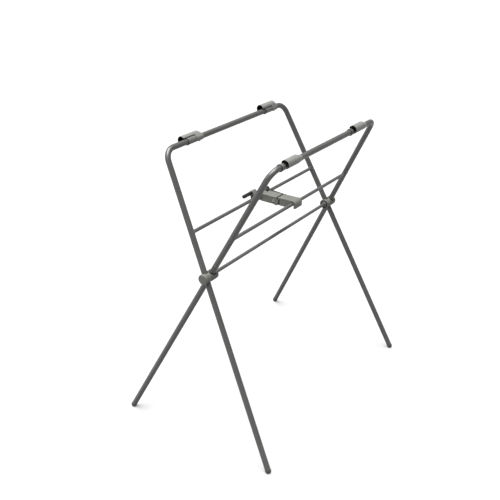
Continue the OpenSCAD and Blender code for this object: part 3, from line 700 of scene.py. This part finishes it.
for f in "ab":
    for k, at in enumerate(hook_at[f]):
        where = ("near", "far")[k]
        on_rail = rail_matrix(f, at * leg_span / 2)
        hook_m = on_rail @ Matrix.Rotation(rad(hook_turned[f][k]), 4, "X")
        outline = hood_outline(hood_r, hood_r - hood_wall, hood_low, hood_lip)
        hood = slab("hood", outline, 0, hood_len + 1, ACROSS)
        secs = shoulder_sections(f)
        verts = [(x, y, z) for x, o in secs for y, z in o]
        shoulder = make("shoulder", verts, ring_faces(hull_points, len(secs)), smooth=False)
        body = join([hood, shoulder], "hook_piece_%s_%s" % (f, where))
        m = body.modifiers.new("union", "REMESH")
        m.mode, m.voxel_size = "VOXEL", 0.5 * MM
        apply_modifiers(body)
        cut_out(body, rod("bore", bore_r, -5, 130, ALONG))
        way = sector(6, 20, -48.8, 23.8)
        cut_out(body, slab("screw_way", way, screw_x - screw_gap, screw_x + screw_gap, ACROSS))
        set_finish(body, hook_olive)
        soften(body, voxel=0.42, rounds=4, keep=0.35)
        # painted shade inside the hood: the faces inside it and at its mouth turn black, and a black sheet
        # lies along its inner wall and lip
        body.data.materials.append(hood_shade_black)
        hood_in_r = hood_r - hood_wall
        for face in body.data.polygons:
            x, y, z = face.center / MM
            inside = math.hypot(y - hood_y, z - hood_z) < hood_in_r + 0.45
            mouth = x < 0.6 and face.normal.x < -0.5
            if -1 < x < hood_len + 0.6 and math.hypot(y, z) > bore_r + 0.4 and (inside or mouth):
                face.material_index = 1
        # painted shade: a thin black sheet along the hood's inner wall and lip
        outline = hood_outline(hood_in_r + shade_sheet_out, hood_in_r - shade_sheet_in, shade_sheet_low, shade_sheet_lip[f])
        shade_sheet = slab("shade_sheet", outline, 0.3, hood_len + 0.3, ACROSS, hood_shade_black)
        body = join([body, shade_sheet], body.name)
        body.data.transform(Matrix.Scale(MM, 4) @ hook_m @ Matrix.Scale(1 / MM, 4))
        if hook_m.determinant() < 0:
            body.data.flip_normals()
        stand_for(body, "rim_hook_%s_%s" % (f, where), "hook_%s_%s" % (f, where), slot="hook_plastic")

        # the collar and its rim
        lo, hi = collar_from[f][k], hood_len - 2
        prof = rounded([(lo, collar_in), (lo, collar_rim_r), (lo + 2, collar_rim_r), (lo + 2.1, collar_r),
                        (hi, collar_r), (hi, collar_in), (lo, collar_in - 0.01)], 0.35)
        pieces = [loop_lathe("collar_ring_%s_%s" % (f, where), prof, on_rail @ ALONG, collar_grey)]
        # a thin black ring of painted shade at each end of the collar
        for a, b, r in ((lo - 0.9, lo + 0.1, 10.8), (hi - 0.1, hi + 1.3, 10.2)):
            prof = [(a, collar_in), (a, r - 0.3), (a + 0.3, r), (b - 0.3, r), (b, r - 0.3),
                    (b, collar_in), (a, collar_in - 0.01)]
            pieces.append(loop_lathe("collar_end_shade", prof, on_rail @ ALONG, black_and_painted_shade))
        ring = join(pieces, pieces[0].name)
        stand_for(ring, "frame_" + f, "collar_%s_%s" % (f, where), slot="collar_plastic")

    # the screws that hold the sleeves, each with a cross in its head
    screws = []
    for at in hook_at[f]:
        m = (rail_matrix(f, at * leg_span / 2) @ Matrix.Translation((screw_x, 0, 0))
             @ Matrix.Rotation(rad(screw_lean), 4, "X")
             @ Matrix.Translation((0, 0, -screw_up)) @ Matrix.Rotation(rad(180), 4, "X"))
        prof = [(-8, 0.05), (-8, 1.8), (0, 1.8), (0, 3.4), (0.7, 3.5), (1.2, 3.2), (1.6, 2.3), (1.8, 0.05)]
        screw = lathe("screw", prof, m, steel, count=40)
        cross = [(-2.1, -0.4), (2.1, -0.4), (2.1, 0.4), (-2.1, 0.4)]
        for a in (20, 110):
            cut_out(screw, slab("cross", cross, 0.9, 3, m @ Matrix.Rotation(rad(a), 4, "Z")))
        screws.append(screw)
    screws = join(screws, "sleeve_screws_" + f)
    stand_for(screws, "frame_" + f, "hook_screws_" + f, slot="steel")

# ---------------------------------------------------------------- the brace


def paint_shade_on(obj, mat, test):
    """Paints shade: gives a second finish to the faces that a test picks by place and direction in the
    brace.
    """
    obj.data.materials.append(mat)
    to_brace = brace_matrix.inverted()
    for face in obj.data.polygons:
        if test(to_brace @ (face.center / MM), to_brace.to_3x3() @ face.normal):
            face.material_index = 1


def from_hinge(p, right=0.0, down=0.0):
    """Distance from the hinge pin's axis, or from a line that far beside and under it."""
    return math.hypot(p.x - hinge_s - right, p.y + hinge_drop + down)


def arm_shade_faces(p, n):
    """The faces of the arm inside its fork and along its seam, which are painted black as shade."""
    fork = p.x > 25 and abs(p.z) < 13.3 and p.y < 8.3
    seam_face = p.x > 66 and n.x > 0.5
    top_edge = p.x > 66 and p.y > 5.3 and from_hinge(p) > 17.5
    front_edge = p.x > 74.4 and p.y < 5.5
    notch = from_hinge(p, 1.8, 8) < 2.9 and abs(p.z) < brace_half - 0.1
    return fork or seam_face or top_edge or front_edge or notch


def hook_shade_faces(p, n):
    """The faces of the hook on its tongue, along its seam and in its seat, which are painted black as
    shade.
    """
    tongue = p.x < 78.4 and abs(p.z) < 13 and p.y < 9
    seam_face = p.x < 79 and n.x < -0.5
    top_edge = p.y > 5.8 and from_hinge(p) < 21.9
    front_edge = p.x < 78.9 and p.y < 6
    seat = math.hypot(p.x - brace_span, p.y) < 8 and abs(p.z) < brace_half - 0.1
    return tongue or seam_face or top_edge or front_edge or seat


# the faces in the brace's fork, along its seam and in its seat are painted black as shade
arm = soften(copy_of("brace_arm", "arm_moulding", brace_olive), voxel=0.45, rounds=6, keep=0.35)
paint_shade_on(arm, black_and_painted_shade, arm_shade_faces)
stand_for(arm, "brace_arm", "brace_arm", slot="olive_plastic")
hook = soften(copy_of("brace_hook", "hook_moulding_piece", brace_olive), voxel=0.45, rounds=10, keep=0.35)
paint_shade_on(hook, black_and_painted_shade, hook_shade_faces)
stand_for(hook, "brace_hook", "brace_hook", slot="olive_plastic")

# the hinge pin and the catch pin, each with one head
prof = [(-20, 0.05), (-20, 3.2), (-19.2, 4.0), (-19, 4.0), (-19, 2.5), (19, 2.5), (19, 0.05)]
m = brace_matrix @ Matrix.Translation((hinge_s, -hinge_drop, 0))
pin = lathe("hinge_pin_piece", rounded(prof, 0.4), m, steel, count=40)
stand_for(pin, "brace_arm", "hinge_pin", slot="steel")
prof = [(4, 0.05), (4, 2), (21.9, 2), (21.9, 3.4), (22.6, 3.4), (23.1, 2.4), (23.1, 0.05)]
m = brace_matrix @ Matrix.Translation((link_s, link_up, 0))
pin = lathe("catch_pin_piece", rounded(prof, 0.3), m, steel, count=40)
stand_for(pin, "brace_hook", "catch_pin", slot="steel")

# the lever: tube, cheek, grip, knuckle and link plate
cheek_to, cheek_t, grip_len, reach = -28.4, 21.6, 43.0, 21.6
lever_from, lever_to, lever_r, lever_wall = cheek_to - cheek_t, 34.0, 7.5, 1.9
crank_from, crank_t, grip_r = 22.0, 12.0, 6.0
prof = rounded([(lever_from, lever_r - lever_wall), (lever_from, lever_r), (lever_to, lever_r),
                (lever_to, lever_r - lever_wall), (lever_from, lever_r - lever_wall - 0.01)], 0.4)
lever = loop_lathe("lever_sleeve", prof, brace_matrix, tube_steel, count=56)
stand_for(lever, "release_lever", "lever_tube", slot="steel")


def teardrop(big, small, up, n=40):
    """The outline round a large circle at the origin and a small one above it."""
    swing = math.acos((big - small) / up)
    pts = []
    for i in range(n + 1):
        a = math.pi / 2 - swing + 2 * swing * i / n
        pts.append((small * math.cos(a), up + small * math.sin(a)))
    for i in range(2 * n + 1):
        a = math.pi / 2 + swing + (2 * math.pi - 2 * swing) * i / (2 * n)
        pts.append((big * math.cos(a), big * math.sin(a)))
    return pts


def bevel(obj, width, segments=3):
    """Rounds the sharp edges of a flat piece."""
    m = obj.modifiers.new("bevel", "BEVEL")
    m.width, m.segments, m.limit_method, m.angle_limit = width * MM, segments, "ANGLE", rad(40)
    apply_modifiers(obj)
    shade_smooth(obj.data)
    sharp_by_angle(obj, 35)


def bored_slab(name, outline, z0, z1, m, mat):
    """A flat piece with the lever's tube through it."""
    piece = slab(name, outline, z0, z1, m, mat)
    cut_out(piece, rod("bore", lever_r + 0.05, z0 - 2, z1 + 2, m))
    set_finish(piece, mat)
    return piece


tilt_m = brace_matrix @ Matrix.Rotation(rad(lean["a"]), 4, "Z")
cheek = bored_slab("cheek_piece", teardrop(11.5, 7, reach), lever_from, cheek_to, tilt_m, collar_grey)
bevel(cheek, 1.0)
stand_for(cheek, "release_lever", "lever_cheek", slot="grey_plastic")
knuckle = bored_slab("knuckle_piece", teardrop(10.5, 5.5, crank_up), crank_from, crank_from + crank_t,
                     brace_matrix, black_and_painted_shade)
bevel(knuckle, 1.3, 4)
stand_for(knuckle, "release_lever", "lever_crank", slot="black_plastic")

g0 = lever_from - grip_len
prof = rounded([(g0, 0.05), (g0, 4.6), (g0 + 1.3, grip_r), (g0 + 4, grip_r)], 0.6)
for i in range(7):
    z = g0 + 7 + i * 4.6
    prof += [(z, grip_r), (z + 0.5, grip_r - 0.35), (z + 1.1, grip_r - 0.35), (z + 1.6, grip_r)]
prof += rounded([(lever_from - 1.6, grip_r), (lever_from, grip_r), (lever_from, 3.1)], 0.5)
grip = lathe("grip_piece", prof, tilt_m @ Matrix.Translation((0, reach, 0)), black_and_painted_shade, count=48)
stand_for(grip, "release_lever", "lever_grip", slot="black_plastic")

# the link plate, from the crank pin to the catch pin, with an eye at each end
eye_r, strap_half, plate_z = 4.4, 3.0, (19.4, 21.6)
link_len = math.hypot(link_s, link_up - crank_up)
plate_m = (brace_matrix @ Matrix.Translation((0, crank_up, 0))
           @ Matrix.Rotation(math.atan2(link_up - crank_up, link_s), 4, "Z"))
eye = math.asin(strap_half / eye_r)
ways = [eye + (2 * math.pi - 2 * eye) * i / 32 for i in range(33)]
pts = [(eye_r * math.cos(a), eye_r * math.sin(a)) for a in ways]
pts.append((link_len - eye_r * math.cos(eye), -strap_half))
pts += [(link_len - eye_r * math.cos(a), -eye_r * math.sin(a)) for a in ways[1:]]
plate = slab("plate_piece", pts, *plate_z, plate_m, dark_steel)
for at, r in ((0, 2.08), (link_len, 2.4)):
    cut_out(plate, rod("eye", r, 18, 23, plate_m @ Matrix.Translation((at, 0, 0)), count=40))
set_finish(plate, dark_steel)
bevel(plate, 0.3, 2)
stand_for(plate, "link", "link_plate", slot="steel")

# the return spring, one length of wire
spring_r, wire_r, pitch, turns, per = 8.6, 0.6, 1.7, 4.5, 40
spring_pts = []
for i in range(int(turns * per) + 1):
    a = 2 * math.pi * i / per
    spring_pts.append((spring_r * math.cos(a), spring_r * math.sin(a), -brace_half + 0.9 + pitch * i / per))
spring = sweep("spring_coil", spring_pts, wire_r, steel, brace_matrix, count=12)
stand_for(spring, "brace_arm", "lever_spring", slot="steel")

# CAD nodes that stay as they are take a finish
for node, mat in (("pivot_pins", steel), ("pivot_washers", nylon), ("leg_bushes_a", nylon),
                  ("leg_bushes_b", nylon), ("grip_rod", steel), ("crank_pin", steel)):
    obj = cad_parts[node]
    if not obj.data.materials:
        obj.data.materials.append(mat)
    for place in obj.material_slots:
        place.material = mat

# ---------------------------------------------------------------- floor, light and camera

floor_half, floor_down = 40, 0.0002
floor_seen, floor_lit, floor_glow, glow_share = 0.93, 0.27, 0.55, 0.62
world_seen, world_lit = 1.0, 0.13

corners = [(x * floor_half, y * floor_half, 0) for x, y in ((-1, -1), (1, -1), (1, 1), (-1, 1))]
floor = bpy.data.meshes.new("floor")
floor.from_pydata(corners, [], [(0, 1, 2, 3)])
floor_obj = bpy.data.objects.new("floor", floor)
scene.collection.objects.link(floor_obj)
floor_obj.location.z = -floor_down
white = bpy.data.materials.new("white_floor")
white.use_nodes = True
nt = white.node_tree
nt.nodes.clear()
out = nt.nodes.new("ShaderNodeOutputMaterial")
mixer = nt.nodes.new("ShaderNodeMixShader")
ray = nt.nodes.new("ShaderNodeLightPath")
diff = nt.nodes.new("ShaderNodeBsdfDiffuse")
glow = nt.nodes.new("ShaderNodeEmission")
glow.inputs["Strength"].default_value = floor_glow
share = nt.nodes.new("ShaderNodeMath")
share.operation = "MULTIPLY"
share.inputs[1].default_value = glow_share
nt.links.new(ray.outputs["Is Camera Ray"], share.inputs[0])
nt.links.new(share.outputs[0], mixer.inputs[0])
nt.links.new(diff.outputs[0], mixer.inputs[1])
nt.links.new(glow.outputs[0], mixer.inputs[2])
nt.links.new(mixer.outputs[0], out.inputs["Surface"])
tone = nt.nodes.new("ShaderNodeMapRange")
tone.inputs["To Min"].default_value = floor_lit
tone.inputs["To Max"].default_value = floor_seen
nt.links.new(ray.outputs["Is Camera Ray"], tone.inputs["Value"])
nt.links.new(tone.outputs["Result"], diff.inputs["Color"])
floor.materials.append(white)

world = bpy.data.worlds.new("studio")
scene.world = world
world.use_nodes = True
nt = world.node_tree
nt.nodes.clear()
out = nt.nodes.new("ShaderNodeOutputWorld")
mixer = nt.nodes.new("ShaderNodeMixShader")
ray = nt.nodes.new("ShaderNodeLightPath")
nt.links.new(ray.outputs["Is Camera Ray"], mixer.inputs[0])
for place, strength in ((1, world_lit), (2, world_seen)):
    back = nt.nodes.new("ShaderNodeBackground")
    back.inputs["Color"].default_value = (1, 1, 1, 1)
    back.inputs["Strength"].default_value = strength
    nt.links.new(back.outputs[0], mixer.inputs[place])
nt.links.new(mixer.outputs[0], out.inputs["Surface"])


def turn_to(place, target):
    """The turn that points a lamp or the camera from one place at another."""
    return (Vector(target) - Vector(place)).to_track_quat("-Z", "Y").to_euler()


def lamp(name, kind, energy, place, target, size):
    """A sun of that angle, or a square area lamp of that side in metres."""
    data = bpy.data.lights.new(name, kind)
    data.energy = energy
    if kind == "SUN":
        data.angle = size
    else:
        data.size = size
    obj = bpy.data.objects.new(name, data)
    scene.collection.objects.link(obj)
    obj.location = place
    obj.rotation_euler = turn_to(place, target)


lamp("overhead", "SUN", 6.9, (-0.3, 0.45, 4), (0, 0, 0.4), rad(55))
lamp("key", "AREA", 8, (-2.4, 1.2, 2.6), (0, 0, 0.6), 1.6)

# the camera stands where the fit to the photograph puts it
cam_at, cam_to = (-1.85407, -1.21666, 1.59126), (-0.01928, 0.08485, 0.47703)
cam = bpy.data.cameras.new("camera")
cam.sensor_width, cam.sensor_fit, cam.lens = 36.0, "HORIZONTAL", 53.49
cam.clip_end = 200
cam_obj = bpy.data.objects.new("camera", cam)
scene.collection.objects.link(cam_obj)
cam_obj.location = cam_at
cam_obj.rotation_euler = turn_to(cam_at, cam_to)
scene.camera = cam_obj
scene.view_settings.view_transform = "Standard"
